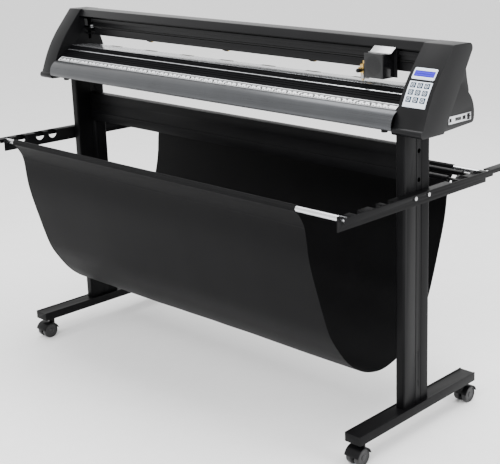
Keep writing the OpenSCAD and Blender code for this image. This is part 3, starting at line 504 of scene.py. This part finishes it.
def build_stand_bolts():
    """Zinc bolts at the arms and the cross beam; the ones in the foot of each column, below 0.4 m, are drawn black,
    darker than the upper ones.
    """
    for name, material, below in (("upper", zinc, False), ("lower", black_coat, True)):
        shape = bmesh.new()
        shape.from_mesh(nodes["stand_bolts"].data)
        bmesh.ops.remove_doubles(shape, verts=shape.verts, dist=1e-6)
        others = [v for v in shape.verts if (v.co.z < 0.4) != below]
        bmesh.ops.delete(shape, geom=others, context="VERTS")
        mesh = bpy.data.meshes.new("stand_bolts_" + name)
        shape.to_mesh(mesh)
        shape.free()
        piece = new_object("stand_bolts_" + name, mesh)
        bevelled(piece, 0.7 * mm, 3)
        settle(piece, material)
        place(piece, "frame", "zinc", ("stand_bolts",) if below else ())


build_stand_bolts()


# ------------------------------------------------------------------ control panel



def panel_axes(degrees):
    """Across, up the slope and out of the bowed face, as the columns of a matrix."""
    t = math.radians(degrees)
    return Matrix(((1, 0, 0), (0, math.sin(t), -math.cos(t)), (0, math.cos(t), math.sin(t)))).transposed()


def panel_extent(node, axes):
    """Lowest and highest corner of a node in the panel's own axes."""
    points = [axes.transposed() @ v.co for v in nodes[node].data.vertices]
    return (Vector([min(p[i] for p in points) for i in range(3)]),
            Vector([max(p[i] for p in points) for i in range(3)]))


def rounded_loop(width, height, radius, steps=6):
    loop = []
    corners = ((1, 1, 0), (-1, 1, 90), (-1, -1, 180), (1, -1, 270))
    for sx, sy, first in corners:
        for i in range(steps + 1):
            a = math.radians(first + 90 * i / steps)
            loop.append((sx * (width / 2 - radius) + radius * math.cos(a),
                         sy * (height / 2 - radius) + radius * math.sin(a)))
    return loop


def panel_plate(name, axes, centre, width, height, low, high, radius, material, edge, hole=None):
    """Rounded plate on the sloping panel from depth low to high, with an optional rounded window."""
    shape = bmesh.new()

    def ring(w, h, r, z):
        return [shape.verts.new((x + centre[0], y + centre[1], z)) for x, y in rounded_loop(w, h, r)]

    outer = [ring(width, height, radius, z) for z in (low, high)]
    count = len(outer[0])
    walls = [outer]
    if hole:
        inner = [ring(hole[0], hole[1], hole[2], z) for z in (low, high)]
        walls.append(inner)
    for low_ring, high_ring in walls:
        for i in range(count):
            j = (i + 1) % count
            shape.faces.new((low_ring[i], low_ring[j], high_ring[j], high_ring[i]))
    for level in (0, 1):
        if hole:
            for i in range(count):
                j = (i + 1) % count
                shape.faces.new((outer[level][i], outer[level][j], inner[level][j], inner[level][i]))
        else:
            shape.faces.new(outer[level])
    bmesh.ops.recalc_face_normals(shape, faces=shape.faces)
    mesh = bpy.data.meshes.new(name)
    shape.to_mesh(mesh)
    shape.free()
    mesh.transform(axes.to_4x4())
    piece = new_object(name, mesh)
    bevelled(piece, edge, 3)
    return settle(piece, material)


def build_display():
    display_angle = 142.4  # degrees round the bow of the end cap's face
    axes = panel_axes(display_angle)
    low, high = panel_extent("display", axes)
    centre = (low + high) / 2
    width, height = high.x - low.x, high.y - low.y
    face = high.z
    window = (64.4 * mm, 17 * mm, 1.2 * mm)
    bezel = panel_plate("display_bezel", axes, centre, width, height, face - 2 * mm, face, 3.5 * mm, panel_white,
        0.5 * mm, window)
    place(bezel, "frame", "display", ("display",))
    screen = panel_plate("display_screen", axes, centre, window[0] + 1 * mm, window[1] + 1 * mm, face - 2.4 * mm,
        face - 0.8 * mm, 0.8 * mm, screen_blue, 0.1 * mm)
    place(screen, "frame", "display")
    for line in (-1, 1):
        first = Vector((centre.x - 28 * mm, centre.y + line * 3.2 * mm, face - 0.76 * mm))
        cells = row("display_cells_%d" % (line + 2), 16, axes @ first, Vector((3.73 * mm, 0, 0)),
            (2.6 * mm, 4.2 * mm, 0.1 * mm), axes.to_euler(), screen_pale)
        place(cells, "frame", "display")


def raised_mark(name, axes, centre, top, outline, inner=None):
    """Thin raised shape on a key, or a ring where an inner outline is given."""
    shape = bmesh.new()
    loops = [outline] + ([inner] if inner else [])
    count = len(outline)
    rings = [[[shape.verts.new((x + centre.x, y + centre.y, z)) for x, y in loop]
        for z in (top - 0.2 * mm, top + 0.08 * mm)] for loop in loops]
    for low_ring, high_ring in rings:
        for i in range(count):
            j = (i + 1) % count
            shape.faces.new((low_ring[i], low_ring[j], high_ring[j], high_ring[i]))
    for level in (0, 1):
        if inner:
            for i in range(count):
                j = (i + 1) % count
                shape.faces.new((rings[0][level][i], rings[0][level][j], rings[1][level][j], rings[1][level][i]))
        else:
            shape.faces.new(rings[0][level])
    bmesh.ops.recalc_face_normals(shape, faces=shape.faces)
    mesh = bpy.data.meshes.new(name)
    shape.to_mesh(mesh)
    shape.free()
    mesh.transform(axes.to_4x4())
    mesh.materials.append(panel_white)
    smooth_by_angle(mesh)
    return new_object(name, mesh)


def circle(radius, steps=32):
    return [(radius * math.cos(2 * math.pi * i / steps), radius * math.sin(2 * math.pi * i / steps))
        for i in range(steps)]


def key_outline(sign):
    if sign == "dot":
        return circle(1.3 * mm, 16)
    if sign == "bar":
        return rounded_loop(4.2 * mm, 1.5 * mm, 0.5 * mm, 3)
    turn = {"right": 0, "up": 90, "left": 180, "down": 270}[sign]
    return [(2.3 * mm * math.cos(math.radians(turn + k)), 2.3 * mm * math.sin(math.radians(turn + k)))
        for k in (0, 130, 230)]


key_signs = {
    "key_a1": "dot", "key_a2": "up", "key_a3": "bar",
    "key_b1": "left", "key_b2": "dot", "key_b3": "right",
    "key_c1": "bar", "key_c2": "down", "key_c3": "dot",
}


def build_keys():
    for name, sign in key_signs.items():
        out = -Vector(joint_of_child[name]["axis"])
        axes = panel_axes(math.degrees(math.atan2(out.z, out.y)))
        low, high = panel_extent(name, axes)
        centre = (low + high) / 2
        width, height = high.x - low.x, high.y - low.y
        top = high.z - 0.3 * mm
        cap = panel_plate(name + "_cap", axes, centre, width, height, low.z, top, 2.6 * mm, key_blue, 0.6 * mm)
        place(cap, name, "key", (name,))
        place(raised_mark(name + "_ring", axes, centre, top, circle(5.2 * mm), circle(3.9 * mm)), name, "key")
        place(raised_mark(name + "_sign", axes, centre, top, key_outline(sign)), name, "key")


build_display()
soften("key_panel", 0.4 * mm, 3)
build_keys()


# ------------------------------------------------------------------ deck and scale

def build_scale():
    """Printed ticks every 10 mm along the strip, longer every 50."""
    low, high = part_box("ruler_strip")
    soften("ruler_strip", 0.15 * mm, 2)
    rise = math.atan2(high.z - low.z - 0.85 * mm, high.y - low.y)
    up = Vector((0, math.cos(rise), math.sin(rise)))
    out = Vector((0, -math.sin(rise), math.cos(rise)))
    edge = Vector((0, low.y, low.z)) + up * 0.8 * mm + out * 0.86 * mm
    for pitch, length, thick, name in ((10, 5, 2.4, "short"), (50, 9, 5.5, "long")):
        count = int((high.x - low.x - 20 * mm) / (pitch * mm))
        first = edge + up * (length / 2 + 0.6) * mm + Vector((low.x + 10 * mm, 0, 0))
        ticks = row("scale_ticks_" + name, count, first, (pitch * mm, 0, 0),
            (thick * mm, length * mm, 0.08 * mm), (rise, 0, 0), scale_ink)
        place(ticks, "frame", "ruler")
    for above, name in ((1.2, "low"), (13.6, "high")):
        line = row("scale_line_" + name, 1, edge + up * above * mm + Vector(((low.x + high.x) / 2, 0, 0)), (0, 0, 0),
            (high.x - low.x - 4 * mm, 1.3 * mm, 0.1 * mm), (rise, 0, 0), scale_ink)
        place(line, "frame", "ruler")
    figures = row("scale_figures", int((high.x - low.x - 20 * mm) / (20 * mm)), edge + up * 10 * mm
        + Vector((low.x + 16 * mm, 0, 0)), (20 * mm, 0, 0), (7.5 * mm, 4.4 * mm, 0.08 * mm), (rise, 0, 0), scale_ink)
    place(figures, "frame", "ruler")
    border = row("scale_border", 1, edge + up * 16.4 * mm + Vector(((low.x + high.x) / 2, 0, 0)), (0, 0, 0),
        (high.x - low.x - 0.6 * mm, 5.2 * mm, 0.1 * mm), (rise, 0, 0), deck_black)
    place(border, "frame", "ruler")


def build_deck_line():
    """Thin bright cutting strip set in the grooved slope."""
    low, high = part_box("platen")
    slope = 0.6975  # fall of the grooved slope for each unit of depth
    rise = math.atan(slope)
    start = Vector((0, high.y, high.z))
    down = Vector((0, -math.cos(rise), -math.sin(rise)))
    out = Vector((0, -math.sin(rise), math.cos(rise)))
    middle = start + down * 21.6 * mm + out * 0.12 * mm
    strip = row("cutting_strip", 1, middle + Vector(((low.x + high.x) / 2, 0, 0)), (0, 0, 0),
        (high.x - low.x - 4 * mm, 2.2 * mm, 0.5 * mm), (rise, 0, 0), bright_strip)
    place(strip, "frame", "bright_aluminium")


build_scale()
build_deck_line()


# ------------------------------------------------------------------ carriage

def build_carriage_cover():
    """Thin box with rounded edges, a grey front and a round field of vent holes, drawn as dark discs on the front:
    painted shade in place of openings.
    """
    soften("carriage_cover", 1.6 * mm, 4, gloss_black)
    low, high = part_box("carriage_cover")
    centre = (low + high) / 2
    width, height = high.x - low.x, high.z - low.z
    shape = bmesh.new()
    loops = []
    for y in (low.y - 0.02 * mm, low.y - 0.5 * mm):
        loops.append([shape.verts.new((x + centre.x, y, z + centre.z))
            for x, z in rounded_loop(width - 3.2 * mm, height - 3.2 * mm, 3 * mm)])
    count = len(loops[0])
    for i in range(count):
        j = (i + 1) % count
        shape.faces.new((loops[0][i], loops[0][j], loops[1][j], loops[1][i]))
    for loop in loops:
        shape.faces.new(loop)
    bmesh.ops.recalc_face_normals(shape, faces=shape.faces)
    mesh = bpy.data.meshes.new("carriage_front")
    shape.to_mesh(mesh)
    shape.free()
    front = new_object("carriage_front", mesh)
    bevelled(front, 0.2 * mm, 2)
    settle(front, carriage_front)
    place(front, "carriage", "carriage_plastic")
    # The vent holes are dark discs laid on the front: painted shade where the openings would be.
    points = []
    for ring in range(8):
        radius = ring * 3.5 * mm
        count = max(1, int(2 * math.pi * radius / (4.2 * mm)))
        for i in range(count):
            a = 2 * math.pi * i / count + ring * 0.4
            points.append((centre.x + radius * math.cos(a), low.y - 0.52 * mm, centre.z + radius * math.sin(a)))
    painted_hole_shade = studs("carriage_vent_painted_shade", points, 1.15 * mm, 0.12 * mm, (0, -1, 0), moulded_black, 12)
    place(painted_hole_shade, "carriage", "carriage_plastic")


def build_tool():
    """Turned blade holder with its collars, on the sliding block."""
    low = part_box("blade_holder")[0]
    pivot = Vector(joint_of_child["clamp_knob"]["pos_m"])
    x = pivot.x
    y = pivot.y + 11 * mm
    z = low.z
    soften("blade_holder", 0.4 * mm, 3, turned_brass)
    barrel = [(0, 0.0), (0.2 * mm, 0.5 * mm), (2 * mm, 0.9 * mm), (2.4 * mm, 3 * mm), (5.8 * mm, 3.7 * mm),
        (6.2 * mm, 5.6 * mm), (7 * mm, 6.3 * mm), (16 * mm, 6.3 * mm), (16.3 * mm, 5.8 * mm), (17.3 * mm, 5.8 * mm),
        (17.6 * mm, 6.3 * mm), (20 * mm, 6.3 * mm), (20.2 * mm, 0.0)]
    place(lathe("blade_holder_barrel", barrel, (x, y, z), (0, 0, 1), zinc), "tool", "brass")
    knob = [(0, 0.0), (0, 2.0 * mm), (1 * mm, 5.2 * mm), (2 * mm, 5.6 * mm), (11 * mm, 5.6 * mm),
        (12.4 * mm, 5.0 * mm), (13 * mm, 3.6 * mm), (13 * mm, 0.0)]
    place(lathe("clamp_knob_turned", knob, (x, y - 11 * mm, pivot.z), (0, -1, 0), moulded_black, 24),
        "clamp_knob", "black_plastic", ("clamp_screw",))


build_carriage_cover()
build_tool()


# ------------------------------------------------------------------ casters, rollers and fasteners

def build_wheels():
    for corner in ("fl", "fr", "rl", "rr"):
        low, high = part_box("caster_wheels_" + corner)
        centre = (low + high) / 2
        half = (high.x - low.x) / 2
        radius = (high.z - low.z) / 2
        inner = 5.8 * mm
        for side in (-1, 1):
            face = half - inner
            profile = [(0, 0.0), (0, radius * 0.9), (1.2 * mm, radius * 0.975), (2.6 * mm, radius),
                (face - 2.6 * mm, radius), (face - 1.2 * mm, radius * 0.975), (face - 0.3 * mm, radius * 0.9),
                (face, radius * 0.82), (face - 2 * mm, radius * 0.78), (face - 2.4 * mm, radius * 0.36),
                (face - 0.8 * mm, radius * 0.3), (face - 0.4 * mm, radius * 0.12), (face - 0.4 * mm, 0.0)]
            wheel = lathe("wheel_%s_%s" % (corner, "ab"[side > 0]), profile,
                (centre.x + side * inner, centre.y, centre.z), (side, 0, 0), wheel_grey, 48)
            place(wheel, "wheels_" + corner, "wheel", ("caster_wheels_" + corner,) if side > 0 else ())


def build_machine_feet():
    low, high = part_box("machine_feet")
    for x in (low.x + 9 * mm, high.x - 9 * mm):
        for y in (low.y + 9 * mm, high.y - 9 * mm):
            profile = [(0, 0.0), (0, 7.4 * mm), (0.8 * mm, 8.6 * mm), (2 * mm, 9 * mm), (6 * mm, 8.6 * mm),
                (7 * mm, 6 * mm), (10 * mm, 5.4 * mm), (10 * mm, 0.0)]
            name = "machine_foot_%s%s" % ("lr"[x > 0], "fb"[y > 0])
            foot = lathe(name, profile, (x, y, low.z), (0, 0, 1), moulded_black, 28)
            place(foot, "frame", "black_plastic", ("machine_feet",) if x > 0 and y > 0 else ())


def build_screws():
    """Screws of the port plate and along the rear of the gantry beam."""
    low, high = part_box("port_plate")
    x = high.x + 0.2 * mm
    corners = [(x, low.y + 3.5 * mm, low.z + 3 * mm), (x, high.y - 2.4 * mm, high.z - 3 * mm)]
    plate = studs("port_plate_screws", corners, 1.4 * mm, 0.9 * mm, (1, 0, 0), zinc)
    place(plate, "frame", "zinc")
    low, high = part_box("gantry_beam")
    count, inset = 8, 30 * mm
    pitch = (high.x - low.x - 2 * inset) / (count - 1)
    rear = [(low.x + inset + i * pitch, high.y + 0.3 * mm, low.z + inset) for i in range(count)]
    place(studs("gantry_rear_screws", rear, 3 * mm, 1.4 * mm, (0, 1, 0), zinc), "frame", "zinc")


def build_sockets():
    """Black inserts of the sockets, seated in the port plate."""
    low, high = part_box("port_plate")
    z = (low.z + high.z) / 2
    for name, y, wide, tall in (("small", 22, 9.4, 9.4), ("serial", 56, 25, 7.6), ("inlet", 82, 13.2, 9.2)):
        insert = row("socket_" + name, 1, (high.x - 2.2 * mm, y * mm, z), (0, 0, 0), (3.4 * mm, wide * mm, tall * mm),
            (0, 0, 0), moulded_black)
        place(insert, "frame", "black_plastic")
    pins = [(high.x - 0.4 * mm, (56 + (i - 4) * 2.4) * mm, z + k * 1.5 * mm) for i in range(9) for k in (-1, 1)]
    place(studs("serial_pins", pins, 0.5 * mm, 0.8 * mm, (1, 0, 0), zinc, 8), "frame", "zinc")


def build_pinch_rings():
    """Bronze rings on both ends of each pinch roller."""
    for name in ("left", "middle", "right"):
        low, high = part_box("pinch_roller_" + name)
        centre = (low + high) / 2
        radius = (high.z - low.z) / 2
        profile = [(0, radius * 0.3), (0, radius * 0.8), (0.4 * mm, radius * 0.9), (2 * mm, radius * 0.9),
            (2 * mm, radius * 0.3), (0, radius * 0.3)]
        for side in (-1, 1):
            x = centre.x + side * ((high.x - low.x) / 2 - 1.9 * mm)
            ring = lathe("pinch_ring_%s_%s" % (name, "ab"[side > 0]), profile, (x, centre.y, centre.z), (side, 0, 0),
                turned_brass, 28)
            place(ring, "pinch_roller_" + name, "brass")


def build_idler_bracket():
    """Small plate above the idler at the plain end."""
    low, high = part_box("idler_pulley")
    bracket = row("idler_bracket", 1, (low.x - 4 * mm, low.y - 3 * mm, high.z + 9 * mm), (0, 0, 0),
        (15 * mm, 1.2 * mm, 22 * mm), (0, 0, 0), zinc)
    place(bracket, "frame", "zinc")


def build_rod_ends():
    """Black plugs in the ends of the two basket rods."""
    low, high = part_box("basket_rods")
    radius = (high.z - low.z) / 2
    z = (high.z + low.z) / 2
    for name, side, y in (("lf", -1, low.y + radius), ("rf", 1, low.y + radius),
                          ("lr", -1, high.y - radius), ("rr", 1, high.y - radius)):
        x = high.x if side > 0 else low.x
        profile = [(-4 * mm, 0.0), (-4 * mm, radius * 0.99), (0, radius), (0.8 * mm, radius * 0.85),
            (0.8 * mm, 0.0)]
        place(lathe("rod_plug_" + name, profile, (x, y, z), (side, 0, 0), moulded_black, 28), "frame", "black_plastic")


build_wheels()
build_machine_feet()
build_screws()
build_sockets()
build_pinch_rings()
build_idler_bracket()
build_rod_ends()


# ------------------------------------------------------------------ basket cloth

def fall_profile():
    """The cloth's path from the front rod down and up to the rear rod, as (y, z) in metres."""
    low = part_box("basket_cloth")[0]
    rod_low, rod_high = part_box("basket_rods")
    reach = rod_high.y - 8 * mm
    rod_z = (rod_low.z + rod_high.z) / 2
    depth = rod_z - low.z - 1 * mm
    fall = ((0.978, 0.021), (0.945, 0.07), (0.915, 0.125), (0.893, 0.246), (0.862, 0.336), (0.807, 0.452),
            (0.74, 0.586), (0.675, 0.694), (0.585, 0.782), (0.47, 0.87), (0.33, 0.94), (0.18, 0.982), (0, 1))
    front = [Vector((-reach * a, rod_z - depth * b, 0)) for a, b in fall]
    rear = [Vector((-p.x, p.y, 0)) for p in reversed(front[:-1])]
    return front + rear, reach, rod_z


def smooth_path(points, spacing):
    """Catmull-Rom curve through the points, resampled to an even spacing."""
    dense = []
    for i in range(len(points) - 1):
        a, b = points[max(i - 1, 0)], points[i]
        c, d = points[i + 1], points[min(i + 2, len(points) - 1)]
        for k in range(16):
            t = k / 16
            dense.append(0.5 * ((2 * b) + (c - a) * t + (2 * a - 5 * b + 4 * c - d) * t * t
                + (3 * b - a - 3 * c + d) * t ** 3))
    dense.append(points[-1])
    lengths = [0.0]
    for a, b in zip(dense, dense[1:]):
        lengths.append(lengths[-1] + (b - a).length)
    count = max(2, round(lengths[-1] / spacing))
    result = []
    k = 0
    for i in range(count + 1):
        target = lengths[-1] * i / count
        while k < len(lengths) - 2 and lengths[k + 1] < target:
            k += 1
        share = (target - lengths[k]) / max(lengths[k + 1] - lengths[k], 1e-9)
        result.append(dense[k].lerp(dense[k + 1], min(max(share, 0), 1)))
    return result, lengths[-1]


def cloth_path():
    """Round the front rod in a sleeve, down, across, up and round the rear rod."""
    fall, reach, rod_z = fall_profile()
    sleeve = 9.5 * mm
    front = []
    for k in range(13):
        a = math.radians(-62 + k * 26.5)
        front.append(Vector((-reach + sleeve * math.cos(a), rod_z + sleeve * math.sin(a), 0)))
    rear = [Vector((-p.x, p.y, 0)) for p in reversed(front)]
    return front + fall[1:-1] + rear


def build_cloth():
    low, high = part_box("basket_cloth")
    path, length = smooth_path(cloth_path(), 9 * mm)
    rear_right = high.x - 1.5 * mm
    front_right = rear_right - 56 * mm
    columns = 150
    shape = bmesh.new()
    uv = shape.loops.layers.uv.new("UVMap")
    grid = []
    rows = len(path)
    for j, p in enumerate(path):
        share = j / (rows - 1)
        a, b = path[max(j - 1, 0)], path[min(j + 1, rows - 1)]
        out = Vector((-(b - a).y, (b - a).x)).normalized()
        span = min(share, 1 - share)
        loose = min(1.0, max(0.0, (span - 0.06) / 0.12))
        right = front_right + (rear_right - front_right) * share
        line = []
        for i in range(columns + 1):
            x = low.x + (right - low.x) * i / columns
            slow = noise.noise(Vector((x * 2.1, share * 1.6, 3.0)))
            fold = noise.noise(Vector((x * 9.0, share * 2.2, 7.0)))
            lift = loose * (2.4 * slow + 0.9 * fold) * mm
            line.append(shape.verts.new((x, p.x + out.x * lift, p.y + out.y * lift + (0.8 * mm * loose))))
        grid.append(line)
    for j in range(rows - 1):
        for i in range(columns):
            face = shape.faces.new((grid[j][i], grid[j][i + 1], grid[j + 1][i + 1], grid[j + 1][i]))
            for loop, (a, b) in zip(face.loops, ((i, j), (i + 1, j), (i + 1, j + 1), (i, j + 1))):
                loop[uv].uv = (a / columns * (right - low.x), b / (rows - 1) * length)
    bmesh.ops.recalc_face_normals(shape, faces=shape.faces)
    hem = next(j for j in range(rows) if path[j].y < path[0].y - 46 * mm)
    paths = {
        "front": [v.co + Vector((0, -0.9 * mm, 0)) for v in grid[hem]],
        "rear": [v.co + Vector((0, 0.9 * mm, 0)) for v in grid[rows - 1 - hem]],
        "left": [line[2].co.copy() for line in grid],
        "right": [line[-3].co.copy() for line in grid],
    }
    mesh = bpy.data.meshes.new("basket_cloth_sheet")
    shape.to_mesh(mesh)
    shape.free()
    sheet = new_object("basket_cloth_sheet", mesh)
    thick = sheet.modifiers.new("thickness", "SOLIDIFY")
    thick.thickness = 0.9 * mm
    thick.offset = 0.0
    settle(sheet, dark_cloth)
    place(sheet, "frame", "cloth", ("basket_cloth",))
    for name, line in paths.items():
        seam = stitches("seam_" + name, line)
        place(seam, "frame", "cloth")


build_cloth()


# ------------------------------------------------------------------ floor, light and camera

def build_stage():
    mesh = bpy.data.meshes.new("floor")
    mesh.from_pydata([(-30, -30, 0), (30, -30, 0), (30, 30, 0), (-30, 30, 0)], [], [(0, 1, 2, 3)])
    floor = new_object("floor", mesh)
    pale = finish("pale_floor", (0.93, 0.93, 0.93), (0.96, 0.96, 0.96), (0.7, 0.8), scale=20.0, bump=0.02, dust=0.0)
    mesh.materials.append(pale)
    world = bpy.data.worlds.new("studio")
    bpy.context.scene.world = world
    world.use_nodes = True
    world.node_tree.nodes["Background"].inputs["Color"].default_value = (1, 1, 1, 1)
    world.node_tree.nodes["Background"].inputs["Strength"].default_value = 1.5


def add_light(name, place_at, aim, size, power):
    data = bpy.data.lights.new(name, "AREA")
    data.shape = "RECTANGLE"
    data.size, data.size_y = size
    data.energy = power
    lamp = bpy.data.objects.new(name, data)
    bpy.context.scene.collection.objects.link(lamp)
    lamp.location = place_at
    lamp.rotation_euler = (Vector(aim) - Vector(place_at)).to_track_quat("-Z", "Y").to_euler()


def build_camera():
    data = bpy.data.cameras.new("camera")
    data.sensor_width = 36.0
    data.lens = 77.2
    data.shift_x = -0.295
    data.shift_y = -0.0766
    data.clip_end = 100.0
    camera = bpy.data.objects.new("camera", data)
    bpy.context.scene.collection.objects.link(camera)
    camera.location = (2.378, -2.161, 1.424)
    camera.rotation_euler = (math.radians(90 - 15.01), 0, math.radians(38.67))
    bpy.context.scene.camera = camera


build_stage()
add_light("key_light", (1.5, -3.0, 3.6), (0, 0, 0.8), (3.0, 2.0), 150)
add_light("top_light", (0, 0.4, 3.8), (0, 0, 1.0), (4.0, 2.0), 140)
add_light("side_light", (4.2, 0.6, 1.6), (0.5, 0, 0.7), (2.0, 2.0), 130)
build_camera()
